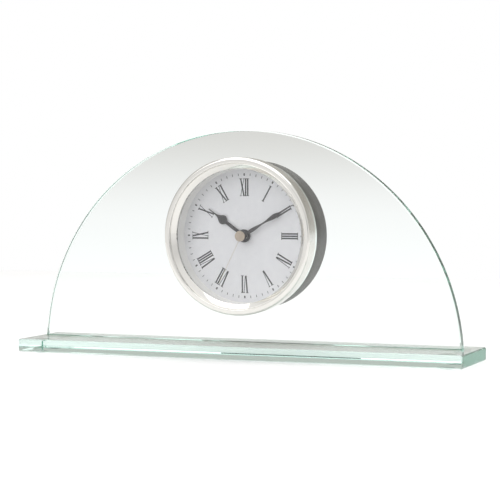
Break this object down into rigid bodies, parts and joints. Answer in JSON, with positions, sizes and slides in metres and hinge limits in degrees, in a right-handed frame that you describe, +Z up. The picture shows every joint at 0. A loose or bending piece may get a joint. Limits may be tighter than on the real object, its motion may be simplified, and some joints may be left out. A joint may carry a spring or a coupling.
{
  "type": "mantel clock",
  "caption": "Half-round clear glass mantel clock on a glass base slab, with a round quartz clock insert in a bright bezel, Roman dial and three hands.",
  "frame": {"origin": "middle of the footprint, on the surface the clock stands on", "axes": "+X along the clock to the right seen from the front, +Y from the dial towards the back, +Z up"},
  "size_m": [0.296, 0.054, 0.142],
  "materials": {
    "float_glass": "clear green-tinted float glass with polished edges",
    "lens_glass": "clear flat mineral glass",
    "chrome": "bright polished plate",
    "silver_plastic": "silvered plastic",
    "case_plastic": "dark grey moulded plastic",
    "clear_rubber": "clear soft rubber",
    "dial_face": "satin silver-white dial with printed numerals",
    "black_paint": "black lacquered hands",
    "cream_paint": "champagne lacquer",
    "steel": "plain steel",
    "soft_iron": "annealed motor iron",
    "magnet": "sintered magnet",
    "brass": "turned brass",
    "contact_metal": "nickelled spring strip",
    "copper_wire": "enamelled copper wire",
    "movement_plastic": "black moulded plastic",
    "bridge_plastic": "natural moulded plastic",
    "wheel_plastic": "natural acetal",
    "circuit_board": "brown laminate",
    "epoxy": "black epoxy drop",
    "battery_wrap": "plain printed wrap without any mark"
  },
  "bodies": {
    "root": {"bezel_ring": "chrome", "lens": "lens_glass", "lens_gasket": "clear_rubber", "inner_ring": "silver_plastic", "barrel_case": "case_plastic", "grip_sleeve": "clear_rubber", "dial": "dial_face", "dial_support": "case_plastic", "movement_screws": "steel", "base_glass": "float_glass", "upright_glass": "float_glass", "bond_line": "clear_rubber", "base_pads": "clear_rubber", "movement_front_plate": "movement_plastic", "movement_back_case": "movement_plastic", "middle_bridge": "bridge_plastic", "rear_bridge": "bridge_plastic", "stator_plate": "soft_iron", "coil_core": "soft_iron", "coil_bobbin": "bridge_plastic", "coil_winding": "copper_wire", "circuit_board": "circuit_board", "timing_chip": "epoxy", "quartz_crystal": "steel", "battery_cell": "steel", "battery_sleeve": "battery_wrap", "battery_spring": "steel", "positive_contact": "contact_metal", "negative_contact": "contact_metal"},
    "rotor": {"rotor_magnet": "magnet", "rotor_pinion": "wheel_plastic"},
    "intermediate": {"intermediate_wheel": "wheel_plastic"},
    "seconds": {"seconds_wheel": "wheel_plastic", "second_hand": "cream_paint", "second_hand_cap": "cream_paint"},
    "third": {"third_wheel": "wheel_plastic"},
    "centre": {"centre_wheel": "wheel_plastic"},
    "minutes": {"minute_pipe": "brass", "clutch_spring": "contact_metal", "minute_hand": "black_paint"},
    "motion_work": {"minute_wheel": "wheel_plastic"},
    "hours": {"hour_wheel": "wheel_plastic", "hour_hand": "black_paint"},
    "setting": {"setting_gear": "wheel_plastic", "setting_knob": "movement_plastic"}
  },
  "joints": [
    {"name": "second_hand_turn", "type": "hinge", "parent": "root", "child": "seconds", "pos_m": [0, 0, 0.076], "axis": [0, 1, 0], "continuous": true},
    {"name": "rotor_turn", "type": "hinge", "parent": "root", "child": "rotor", "pos_m": [0.00585, 0, 0.08612], "axis": [0, 1, 0], "continuous": true},
    {"name": "intermediate_turn", "type": "hinge", "parent": "root", "child": "intermediate", "pos_m": [0.00313, 0, 0.08141], "axis": [0, 1, 0], "continuous": true},
    {"name": "third_turn", "type": "hinge", "parent": "root", "child": "third", "pos_m": [-0.00736, 0, 0.08025], "axis": [0, 1, 0], "continuous": true},
    {"name": "centre_turn", "type": "hinge", "parent": "root", "child": "centre", "pos_m": [0, 0, 0.076], "axis": [0, 1, 0], "continuous": true},
    {"name": "minute_hand_turn", "type": "hinge", "parent": "root", "child": "minutes", "pos_m": [0, 0, 0.076], "axis": [0, 1, 0], "continuous": true},
    {"name": "motion_work_turn", "type": "hinge", "parent": "root", "child": "motion_work", "pos_m": [0.00665, 0, 0.07216], "axis": [0, 1, 0], "continuous": true},
    {"name": "hour_hand_turn", "type": "hinge", "parent": "root", "child": "hours", "pos_m": [0, 0, 0.076], "axis": [0, 1, 0], "continuous": true},
    {"name": "setting_knob_turn", "type": "hinge", "parent": "root", "child": "setting", "pos_m": [0.01481, 0, 0.07216], "axis": [0, 1, 0], "continuous": true}
  ],
  "couplings": [
    {"joint": "intermediate_turn", "follows": "second_hand_turn", "ratio": -4},
    {"joint": "rotor_turn", "follows": "second_hand_turn", "ratio": 30},
    {"joint": "third_turn", "follows": "second_hand_turn", "ratio": -0.13333},
    {"joint": "centre_turn", "follows": "second_hand_turn", "ratio": 0.016667},
    {"joint": "motion_work_turn", "follows": "minute_hand_turn", "ratio": -0.33333},
    {"joint": "hour_hand_turn", "follows": "minute_hand_turn", "ratio": 0.083333},
    {"joint": "setting_knob_turn", "follows": "minute_hand_turn", "ratio": 0.8}
  ]
}
